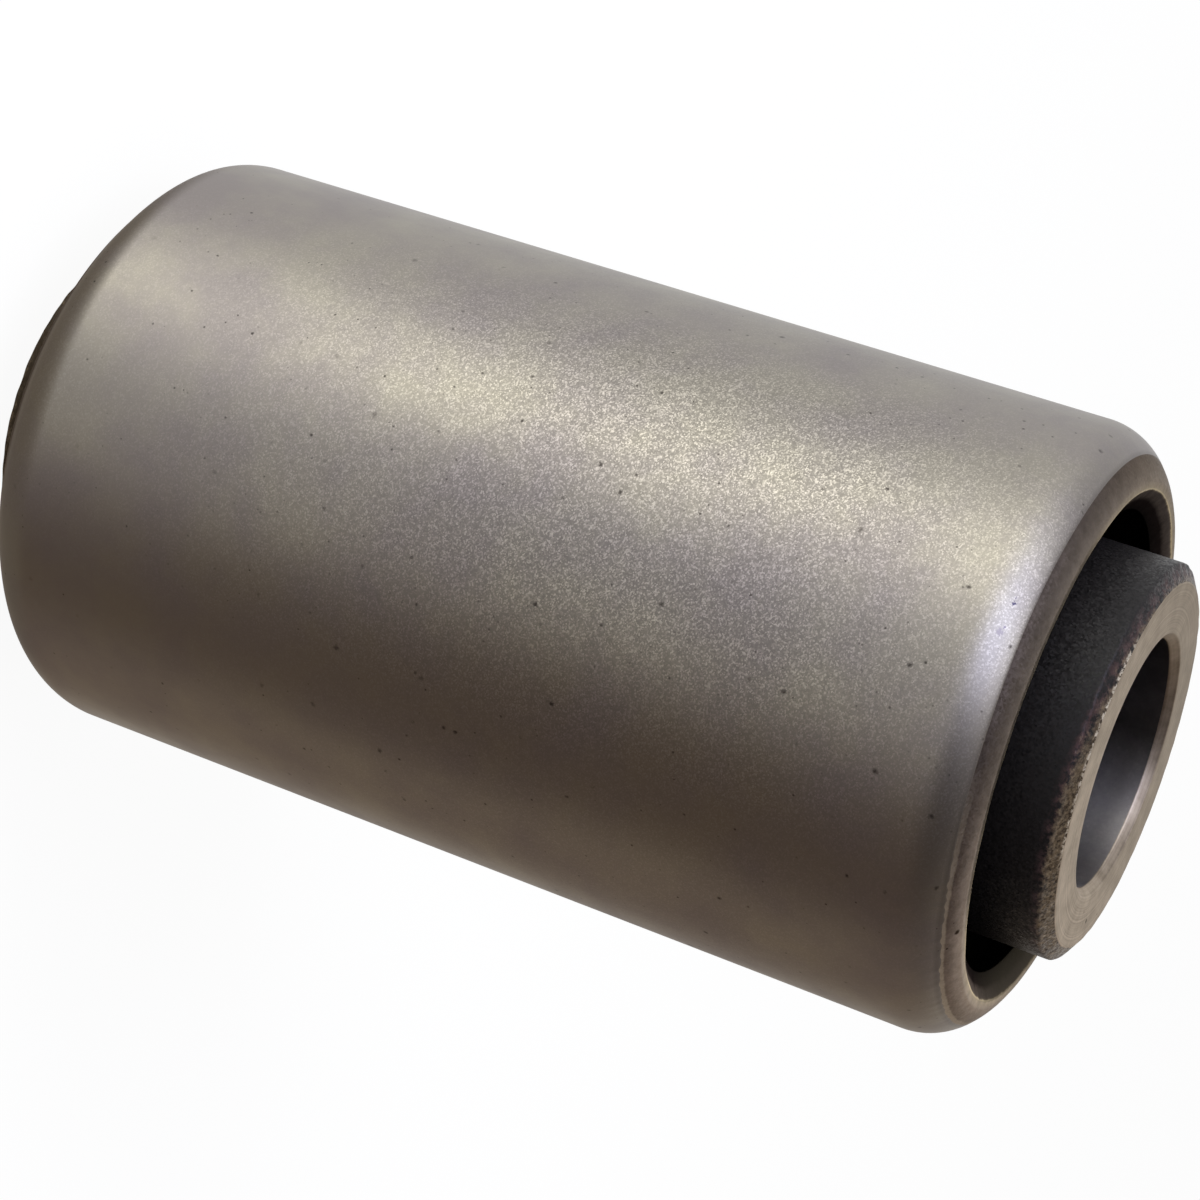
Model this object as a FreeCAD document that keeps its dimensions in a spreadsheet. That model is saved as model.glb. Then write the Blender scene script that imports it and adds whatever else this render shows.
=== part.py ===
import FreeCAD, Part
import math
import os
import Sketcher

# A bonded suspension bushing: a steel outer sleeve whose ends are turned in,
# a rubber element, and a longer steel inner sleeve that takes the bolt.
# Its axis is Z, and the origin is the middle of the bore.

# Driving sizes, in millimetres and degrees
SIZES = [
    # Inner sleeve, a thick tube chamfered outside and in the bore
    ("bore_diameter", 16.2),
    ("inner_wall", 4.8),
    ("inner_length", 76.2),
    ("end_chamfer_width", 1.1),
    ("end_chamfer_depth", 0.6),
    ("bore_chamfer", 0.5),
    # Rubber element, bonded to both sleeves
    ("rubber_thickness", 5.1),
    ("rubber_setback", 1.5),
    ("rubber_edge_width", 0.9),
    ("rubber_edge_rise", 1.2),
    # Outer sleeve, a drawn tube with both ends closed in by a die
    ("outer_wall", 2.0),
    ("outer_length", 68.8),
    ("shoulder_radius", 4.2),
    ("shoulder_turn", 47.0),
    ("die_band_width", 1.7),
    ("die_band_turn", 56.0),
    ("lip_width", 0.6),
    ("cut_end_tilt", 30.0),
]

# Sizes that follow from them, from the bolt outwards and from the lip inwards
INNER_RADIUS = "Sizes.bore_diameter / 2 + Sizes.inner_wall"
RUBBER_RADIUS = f"{INNER_RADIUS} + Sizes.rubber_thickness"
OUTER_RADIUS = f"{RUBBER_RADIUS} + Sizes.outer_wall"
LIP_HEIGHT = "Sizes.outer_length / 2"
DIE_BAND_RISE = "Sizes.die_band_width * cos(Sizes.die_band_turn * 1 deg)"
SHOULDER_RISE = "Sizes.shoulder_radius * sin(Sizes.shoulder_turn * 1 deg)"
SHOULDER_START = f"{LIP_HEIGHT} - {DIE_BAND_RISE} - {SHOULDER_RISE}"
RUBBER_EDGE_HEIGHT = f"{SHOULDER_START} - Sizes.rubber_setback"

# Points of a line or an arc, and the origin of a sketch
START = 1
END = 2
CENTRE = 3
ORIGIN = (-1, 1)
LEVEL_AXIS = -1

doc = FreeCAD.newDocument("bushing")


def make_sheet():
    """Writes each driving size in a cell of its own, beside its name."""
    sheet = doc.addObject("Spreadsheet::Sheet", "Sizes")
    for row, (alias, value) in enumerate(SIZES, start=1):
        sheet.set(f"A{row}", alias)
        sheet.set(f"B{row}", str(value))
        sheet.setAlias(f"B{row}", alias)
    doc.recompute()
    return sheet


def measure(expression):
    """Works an expression out, in millimetres or degrees."""
    result = doc.getObject("Sizes").evalExpression(expression)
    return float(getattr(result, "Value", result))


def origin_plane(body, role):
    """Finds one of the body's own origin planes."""
    return next(feature for feature in body.Origin.OriginFeatures if feature.Role == role)


def new_body(label):
    """Starts the body of one piece, in the bushing's own frame."""
    body = doc.addObject("PartDesign::Body", label)
    body.Label = label
    body.Placement = FreeCAD.Placement()
    return body


def new_sketch(body, name, role):
    """Adds a sketch that lies flat on one of the body's origin planes."""
    sketch = body.newObject("Sketcher::SketchObject", name)
    sketch.AttachmentSupport = (origin_plane(body, role), [""])
    sketch.MapMode = "FlatFace"
    return sketch


def at(x, y):
    """A point of a sketch. In a profile, x is the radius and y the height."""
    return FreeCAD.Vector(x, y, 0.0)


def straight(start, end):
    """A line of a profile."""
    return Part.LineSegment(at(*start), at(*end))


def circle(centre, radius):
    """A full circle in a sketch."""
    return Part.Circle(at(*centre), FreeCAD.Vector(0.0, 0.0, 1.0), radius)


def curl(centre, radius, turn):
    """An arc of a profile that starts level with its centre, on the outside."""
    return Part.ArcOfCircle(circle(centre, radius), 0.0, turn)


def curl_end(centre, radius, turn):
    """The point where such an arc ends."""
    return (centre[0] + radius * math.cos(turn), centre[1] + radius * math.sin(turn))


def crossing(first, first_angle, second, second_angle):
    """The point where two lines meet, each given by a point and an angle."""
    run = second[0] - first[0]
    rise = second[1] - first[1]
    across = math.sin(second_angle - first_angle)
    along = (run * math.sin(second_angle) - rise * math.cos(second_angle)) / across
    return (first[0] + along * math.cos(first_angle), first[1] + along * math.sin(first_angle))


def tie(sketch, kind, *points):
    """Adds a constraint that has no size."""
    sketch.addConstraint(Sketcher.Constraint(kind, *points))


def dimension(sketch, name, expression, kind, *points):
    """Adds a named dimension, and binds it to the sheet."""
    value = measure(expression)
    if kind == "Angle":
        value = math.radians(value)
    sketch.addConstraint(Sketcher.Constraint(kind, *points, value))
    sketch.renameConstraint(sketch.ConstraintCount - 1, name)
    sketch.setExpression(f"Constraints.{name}", expression)


def turn_and_mirror(body, sketch):
    """Turns the profile of the upper half about Z, and repeats it below."""
    doc.recompute()
    upper = body.newObject("PartDesign::Revolution", f"{body.Name}_upper_half")
    upper.Profile = sketch
    upper.ReferenceAxis = (sketch, ["V_Axis"])
    upper.Angle = 360.0
    doc.recompute()
    both = body.newObject("PartDesign::Mirrored", f"{body.Name}_both_halves")
    both.Originals = [upper]
    both.MirrorPlane = (origin_plane(body, "XY_Plane"), [""])
    both.Refine = True
    body.Tip = both


def make_outer_sleeve():
    """Outer sleeve: a tube whose ends are closed in by a die.

    Each end curls in round a shoulder, then leans further in over the conical
    band that the die pressed, and ends in a narrow flat lip. Inside the lip
    is the tube's cut end, which the closing tilted inwards. The wall keeps
    its thickness round the curl, so the inside arc has the same centre.
    """
    body = new_body("outer_sleeve")
    sketch = new_sketch(body, "outer_sleeve_profile", "XZ_Plane")

    wall = measure("Sizes.outer_wall")
    outside_radius = measure(OUTER_RADIUS)
    inside_radius = outside_radius - wall
    shoulder_radius = measure("Sizes.shoulder_radius")
    shoulder_turn = math.radians(measure("Sizes.shoulder_turn"))
    band_angle = math.radians(measure("90 + Sizes.die_band_turn"))
    cut_angle = math.radians(measure("Sizes.cut_end_tilt - 180"))
    start_height = measure(SHOULDER_START)
    lip_height = measure(LIP_HEIGHT)

    centre = (outside_radius - shoulder_radius, start_height)
    band_start = curl_end(centre, shoulder_radius, shoulder_turn)
    band_run = measure("Sizes.die_band_width") * math.cos(band_angle)
    lip_start = (band_start[0] + band_run, lip_height)
    lip_end = (lip_start[0] - measure("Sizes.lip_width"), lip_height)
    inner_band_end = curl_end(centre, shoulder_radius - wall, shoulder_turn)
    cut_corner = crossing(lip_end, cut_angle, inner_band_end, band_angle)

    profile = [
        straight((outside_radius, 0.0), (outside_radius, start_height)),
        curl(centre, shoulder_radius, shoulder_turn),
        straight(band_start, lip_start),
        straight(lip_start, lip_end),
        straight(lip_end, cut_corner),
        straight(cut_corner, inner_band_end),
        curl(centre, shoulder_radius - wall, shoulder_turn),
        straight((inside_radius, start_height), (inside_radius, 0.0)),
        straight((inside_radius, 0.0), (outside_radius, 0.0)),
    ]
    outside, shoulder, band, lip, cut, inner_band, inner_shoulder, inside, middle = range(len(profile))
    sketch.addGeometry(profile, False)

    tie(sketch, "Tangent", outside, END, shoulder, START)
    tie(sketch, "Coincident", shoulder, END, band, START)
    tie(sketch, "Coincident", band, END, lip, START)
    tie(sketch, "Coincident", lip, END, cut, START)
    tie(sketch, "Coincident", cut, END, inner_band, START)
    tie(sketch, "Coincident", inner_band, END, inner_shoulder, END)
    tie(sketch, "Tangent", inner_shoulder, START, inside, START)
    tie(sketch, "Coincident", inside, END, middle, START)
    tie(sketch, "Coincident", middle, END, outside, START)
    tie(sketch, "Coincident", shoulder, CENTRE, inner_shoulder, CENTRE)
    tie(sketch, "Vertical", outside)
    tie(sketch, "Vertical", inside)
    tie(sketch, "Horizontal", lip)
    tie(sketch, "Parallel", band, inner_band)
    tie(sketch, "PointOnObject", middle, START, LEVEL_AXIS)
    tie(sketch, "PointOnObject", middle, END, LEVEL_AXIS)

    dimension(sketch, "outside_radius", OUTER_RADIUS, "DistanceX", *ORIGIN, outside, START)
    dimension(sketch, "wall", "Sizes.outer_wall", "DistanceX", middle, START, middle, END)
    dimension(sketch, "lip_height", LIP_HEIGHT, "DistanceY", *ORIGIN, band, END)
    dimension(sketch, "shoulder_radius", "Sizes.shoulder_radius", "Radius", shoulder)
    dimension(sketch, "shoulder_turn", "Sizes.shoulder_turn * 1 deg", "Angle", shoulder)
    dimension(sketch, "inner_turn", "Sizes.shoulder_turn * 1 deg", "Angle", inner_shoulder)
    dimension(sketch, "band_width", "Sizes.die_band_width", "Distance", band)
    dimension(sketch, "band_angle", "(90 + Sizes.die_band_turn) * 1 deg", "Angle", band)
    dimension(sketch, "lip_width", "Sizes.lip_width", "DistanceX", lip, END, lip, START)
    dimension(sketch, "cut_angle", "(Sizes.cut_end_tilt - 180) * 1 deg", "Angle", cut)

    turn_and_mirror(body, sketch)
    return body


def make_rubber_element():
    """Rubber element: fills the space between the sleeves.

    It stops short of each shoulder. Each end face is flat, and runs up to a
    thin edge on both sleeves, so that the bond doesn't end in a corner.
    """
    body = new_body("rubber_element")
    sketch = new_sketch(body, "rubber_profile", "XZ_Plane")

    inside_radius = measure(INNER_RADIUS)
    outside_radius = measure(RUBBER_RADIUS)
    edge_width = measure("Sizes.rubber_edge_width")
    edge_height = measure(RUBBER_EDGE_HEIGHT)
    face_height = edge_height - measure("Sizes.rubber_edge_rise")

    corners = [
        (inside_radius, 0.0),
        (outside_radius, 0.0),
        (outside_radius, edge_height),
        (outside_radius - edge_width, face_height),
        (inside_radius + edge_width, face_height),
        (inside_radius, edge_height),
    ]
    following_corners = corners[1:] + corners[:1]
    sketch.addGeometry([straight(*ends) for ends in zip(corners, following_corners)], False)
    middle, outer_bond, outer_edge, face, inner_edge, inner_bond = range(len(corners))

    for line in range(len(corners)):
        tie(sketch, "Coincident", line, END, (line + 1) % len(corners), START)
    tie(sketch, "Vertical", inner_bond)
    tie(sketch, "Vertical", outer_bond)
    tie(sketch, "Equal", inner_bond, outer_bond)
    tie(sketch, "Horizontal", face)
    tie(sketch, "PointOnObject", middle, START, LEVEL_AXIS)
    tie(sketch, "PointOnObject", middle, END, LEVEL_AXIS)

    dimension(sketch, "inside_radius", INNER_RADIUS, "DistanceX", *ORIGIN, middle, START)
    dimension(sketch, "outside_radius", RUBBER_RADIUS, "DistanceX", *ORIGIN, middle, END)
    dimension(sketch, "edge_height", RUBBER_EDGE_HEIGHT, "DistanceY", *ORIGIN, outer_bond, END)
    dimension(sketch, "edge_rise", "Sizes.rubber_edge_rise", "DistanceY", outer_edge, END, outer_edge, START)
    for side, edge in (("outer", outer_edge), ("inner", inner_edge)):
        dimension(sketch, f"{side}_width", "Sizes.rubber_edge_width", "DistanceX", edge, END, edge, START)

    turn_and_mirror(body, sketch)
    return body


def edges_of_radius(shape, radius):
    """Names the round edges of one radius, which are the same at both ends."""
    return [
        f"Edge{number}"
        for number, edge in enumerate(shape.Edges, start=1)
        if isinstance(edge.Curve, Part.Circle) and math.isclose(edge.Curve.Radius, radius)
    ]


def make_inner_sleeve():
    """Inner sleeve: a thick tube, longer than the outer one at both ends.

    Each end has a shallow chamfer outside and a small one in the bore.
    """
    body = new_body("inner_sleeve")
    sketch = new_sketch(body, "inner_sleeve_ring", "XY_Plane")
    outside_radius = measure(INNER_RADIUS)
    bore_radius = measure("Sizes.bore_diameter / 2")
    outside, bore = range(2)
    sketch.addGeometry([circle((0.0, 0.0), outside_radius), circle((0.0, 0.0), bore_radius)], False)
    tie(sketch, "Coincident", outside, CENTRE, *ORIGIN)
    tie(sketch, "Coincident", bore, CENTRE, *ORIGIN)
    dimension(sketch, "outside_radius", INNER_RADIUS, "Radius", outside)
    dimension(sketch, "bore_diameter", "Sizes.bore_diameter", "Diameter", bore)
    doc.recompute()

    tube = body.newObject("PartDesign::Pad", "inner_sleeve_tube")
    tube.Profile = sketch
    tube.Midplane = True
    tube.setExpression("Length", "Sizes.inner_length")
    doc.recompute()

    ends = body.newObject("PartDesign::Chamfer", "end_chamfers")
    ends.Base = (tube, edges_of_radius(tube.Shape, outside_radius))
    ends.ChamferType = "Two distances"
    ends.setExpression("Size", "Sizes.end_chamfer_depth")
    ends.setExpression("Size2", "Sizes.end_chamfer_width")
    doc.recompute()

    mouths = body.newObject("PartDesign::Chamfer", "bore_chamfers")
    mouths.Base = (ends, edges_of_radius(ends.Shape, bore_radius))
    mouths.ChamferType = "Equal distance"
    mouths.setExpression("Size", "Sizes.bore_chamfer")
    body.Tip = mouths
    return body


def check_document():
    """Stops if any object of the document failed to build."""
    doc.recompute()
    for item in doc.Objects:
        if "Invalid" in item.State or "Error" in item.State:
            raise RuntimeError(f"{item.Label} did not build: {item.State}")


def check_body(body):
    """Stops unless the piece is one valid solid."""
    shape = body.Shape
    if shape.isNull() or not shape.isValid() or len(shape.Solids) != 1:
        raise RuntimeError(f"{body.Label} is not one valid solid")


def main():
    """Builds the three pieces, checks them and writes one file for each."""
    make_sheet()
    bodies = [make_outer_sleeve(), make_rubber_element(), make_inner_sleeve()]
    check_document()
    for body in bodies:
        check_body(body)
    os.makedirs("parts", exist_ok=True)
    for body in bodies:
        body.Shape.exportStep(f"parts/{body.Label}.step")
        box = body.Shape.optimalBoundingBox(False)
        print(f"{body.Label}: {body.Shape.Volume:.1f} mm3, {box.XLength:.2f} across, {box.ZLength:.2f} long")


main()
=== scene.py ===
"""A rubber bushing bonded between two steel sleeves, standing on end: its pieces, finishes, studio, camera.

The bushing's axis is Z and its middle is the origin. Profiles are in millimetres, as (radius, height).
"""

import math

import bpy
import numpy as np
from mathutils import Matrix, Vector


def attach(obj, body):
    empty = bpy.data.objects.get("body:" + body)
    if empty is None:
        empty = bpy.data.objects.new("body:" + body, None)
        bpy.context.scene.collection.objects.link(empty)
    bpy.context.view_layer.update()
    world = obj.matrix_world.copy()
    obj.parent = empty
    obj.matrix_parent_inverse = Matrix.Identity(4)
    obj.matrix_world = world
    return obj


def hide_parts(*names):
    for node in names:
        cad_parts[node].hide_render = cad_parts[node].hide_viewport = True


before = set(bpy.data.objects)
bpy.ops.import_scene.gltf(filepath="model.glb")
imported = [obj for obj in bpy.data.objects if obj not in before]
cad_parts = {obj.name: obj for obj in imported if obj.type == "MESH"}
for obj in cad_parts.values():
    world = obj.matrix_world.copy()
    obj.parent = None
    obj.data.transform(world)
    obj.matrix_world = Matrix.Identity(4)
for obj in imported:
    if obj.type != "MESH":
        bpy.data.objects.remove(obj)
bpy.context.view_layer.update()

MM = 0.001
# How many points each ring has, and the angle from which an edge is drawn sharp
TURNS = 720
SHARP_ANGLE = 34.0
ANGLES = np.linspace(0.0, 2.0 * math.pi, TURNS, endpoint=False)


# ---------------------------------------------------------------------------------------------------------
# Surfaces
# ---------------------------------------------------------------------------------------------------------

def wander(seed, fewest, most, amount):
    """A line that wanders round the part: the sum of cosine waves, with every whole number of waves from
    fewest to most in the turn and a random phase each, scaled to a root mean square of amount."""
    draw = np.random.default_rng(seed)
    waves = np.arange(fewest, most + 1)
    phases = draw.uniform(0.0, 2.0 * math.pi, len(waves))
    heights = draw.uniform(0.4, 1.0, len(waves))
    total = (heights[:, None] * np.cos(waves[:, None] * ANGLES + phases[:, None])).sum(axis=0)
    return amount * total / np.sqrt(np.mean(total ** 2))


def near(angle, width):
    """A smooth hill round the part: 1 at the angle, in degrees, and about a third of that one width off."""
    gap = (np.degrees(ANGLES) - angle + 180.0) % 360.0 - 180.0
    return np.exp(-(gap / width) ** 2)


def point(radius, height):
    """One corner of a profile: its radius and height round the whole turn, as an array of two rows."""
    return np.stack([np.broadcast_to(radius, TURNS), np.broadcast_to(height, TURNS)]).astype(float)


def line(start, end, steps):
    """Rings from start towards end in equal steps, without the end."""
    shares = np.arange(steps)[:, None, None] / steps
    return start + shares * (end - start)


def arc(centre, radius, first, last, steps):
    """Rings on a circle about centre, without the last: centre plus radius times the cosine and the sine of
    an angle, in degrees, that runs evenly from first to last."""
    turn = np.radians(first + (last - first) * np.arange(steps) / steps)
    rings = np.stack([centre[0] + radius * np.cos(turn), centre[1] + radius * np.sin(turn)], axis=1)
    return rings[:, :, None] * np.ones(TURNS)


def worn(before, corner, after, size, steps):
    """Rings round a worn corner, which starts and ends at size from it. Each is on the quadratic curve
    (1 - t)^2 start + 2 t (1 - t) corner + t^2 end."""
    start = corner + size * (before - corner) / np.linalg.norm(before - corner, axis=0)
    end = corner + size * (after - corner) / np.linalg.norm(after - corner, axis=0)
    t = (np.arange(steps) / (steps - 1))[:, None, None]
    return (1 - t) ** 2 * start + 2 * t * (1 - t) * corner + t ** 2 * end


def crowned(start, end, rise, steps):
    """Rings from start towards end, without the end, that swell to the right of that way by rise times
    4 t (1 - t), where t is the share of the way."""
    t = (np.arange(steps) / steps)[:, None, None]
    way = end - start
    left = np.stack([-way[1], way[0]]) / np.linalg.norm(way, axis=0)
    return start + t * way - 4.0 * rise * t * (1 - t) * left


def turned(name, bands):
    """A closed surface round the axis. bands is a list of (rings, finish): the rings of one material, each a
    radius and a height for every angle. The point at angle a is (radius cos a, radius sin a, height), and
    the last ring joins the first."""
    rings = np.concatenate([rings for rings, _ in bands]) * MM
    count = len(rings)
    across, height = rings[:, 0], rings[:, 1]
    points = np.stack([across * np.cos(ANGLES), across * np.sin(ANGLES), height], axis=-1).reshape(-1, 3)
    ring = np.arange(count)[:, None]
    step = np.arange(TURNS)[None, :]
    here, beyond = ring * TURNS, (ring + 1) % count * TURNS
    following = (step + 1) % TURNS
    corners = [here + step, here + following, beyond + following, beyond + step]
    quads = np.stack(corners, axis=-1).reshape(-1, 4)
    mesh = bpy.data.meshes.new(name)
    mesh.from_pydata(points, [], quads)
    finishes = list(dict.fromkeys(finish for _, finish in bands))
    for finish in finishes:
        mesh.materials.append(finish)
    of_ring = np.concatenate([np.full(len(rings), finishes.index(finish)) for rings, finish in bands])
    mesh.polygons.foreach_set("material_index", np.repeat(of_ring, TURNS))
    mesh.polygons.foreach_set("use_smooth", np.ones(len(quads), bool))
    mesh.update()
    mesh.set_sharp_from_angle(angle=math.radians(SHARP_ANGLE))
    piece = bpy.data.objects.new(name, mesh)
    bpy.context.scene.collection.objects.link(piece)
    return piece


# ---------------------------------------------------------------------------------------------------------
# Finishes
# ---------------------------------------------------------------------------------------------------------

def colour(code):
    """An sRGB hex code as linear red, green, blue and 1."""
    values = np.array([int(code[i:i + 2], 16) for i in (1, 3, 5)]) / 255.0
    linear = np.where(values <= 0.04045, values / 12.92, ((values + 0.055) / 1.055) ** 2.4)
    return (*linear.tolist(), 1.0)


def node(tree, kind, inputs=None, stops=None, **settings):
    """Adds one node. settings are its own options, inputs gives each named or numbered socket a value, or a
    link where the value is another node's socket, and stops are the places and colours of a colour ramp."""
    made = tree.nodes.new("ShaderNode" + kind)
    for option, value in settings.items():
        setattr(made, option, value)
    for socket, value in (inputs or {}).items():
        if isinstance(value, bpy.types.NodeSocket):
            tree.links.new(value, made.inputs[socket])
        else:
            made.inputs[socket].default_value = value
    for number, (place, tint) in enumerate(stops or []):
        ramp = made.color_ramp.elements
        stop = ramp[0] if number == 0 else ramp[-1] if number == len(stops) - 1 else ramp.new(place)
        stop.position, stop.color = place, tint
    return made


def every(size):
    """A texture's scale on Object coordinates, in metres, for features of this size in millimetres."""
    return 1.0 / (size * MM)


def material(name):
    """An empty material: its tree, its Object coordinates, its shader and its output are returned."""
    made = bpy.data.materials.new(name)
    made.use_nodes = True
    tree = made.node_tree
    tree.nodes.clear()
    place = node(tree, "TexCoord").outputs["Object"]
    shader = node(tree, "BsdfPrincipled")
    node(tree, "OutputMaterial", {"Surface": shader.outputs["BSDF"]})
    return made, tree, place, shader


def from_axis(tree, place):
    """The distance from the part's axis, in metres: the length of x and y."""
    flat = node(tree, "VectorMath", {0: place, 1: (1.0, 1.0, 0.0)}, operation="MULTIPLY")
    return node(tree, "VectorMath", {0: flat.outputs[0]}, operation="LENGTH").outputs["Value"]


def from_middle(tree, place):
    """The distance from the part's middle plane, in metres, the same at both ends: the size of z."""
    split = node(tree, "SeparateXYZ", {0: place})
    return node(tree, "Math", {0: split.outputs[2]}, operation="ABSOLUTE").outputs[0]


def to_side(tree, place, azimuth, start, end, low, high):
    """A value that goes from low to high with the distance towards one side of the part, the side at
    azimuth, between start and end in millimetres from the axis: x cos a + y sin a, mapped."""
    a = math.radians(azimuth)
    reach = node(tree, "VectorMath", {0: place, 1: (math.cos(a), math.sin(a), 0.0)}, operation="DOT_PRODUCT")
    return node(tree, "MapRange", {
        "Value": reach.outputs["Value"], "From Min": start * MM, "From Max": end * MM, "To Min": low,
        "To Max": high}).outputs[0]


def faceted(tree, chosen, tilt):
    """A surface of small facets: the normal leans by tilt times a random vector, which is chosen less one
    half."""
    square = node(tree, "TexCoord").outputs["Normal"]
    centred = node(tree, "VectorMath", {0: chosen, 1: (0.5, 0.5, 0.5)}, operation="SUBTRACT").outputs[0]
    lean = node(tree, "VectorMath", {0: centred, "Scale": tilt}, operation="SCALE").outputs[0]
    leant = node(tree, "VectorMath", {0: square, 1: lean}, operation="ADD").outputs[0]
    return node(tree, "VectorMath", {0: leant}, operation="NORMALIZE").outputs[0]


def spot(tree, place, azimuth, radius, height, size, ragged):
    """How much of one small mark covers a point: 1 within its size, in millimetres, of its centre, which is
    given by azimuth, radius and height, and 0 well outside. A noise, ragged, frays its edge."""
    a = math.radians(azimuth)
    centre = (radius * math.cos(a) * MM, radius * math.sin(a) * MM, height * MM)
    away = node(tree, "VectorMath", {0: place, 1: centre}, operation="DISTANCE")
    frayed = node(tree, "Math", {0: ragged, 1: size * MM, 2: away.outputs["Value"]}, operation="MULTIPLY_ADD")
    return node(tree, "MapRange", {
        "Value": frayed.outputs[0], "From Min": 1.1 * size * MM, "From Max": 1.7 * size * MM,
        "To Min": 1.0, "To Max": 0.0}).outputs[0]


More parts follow.
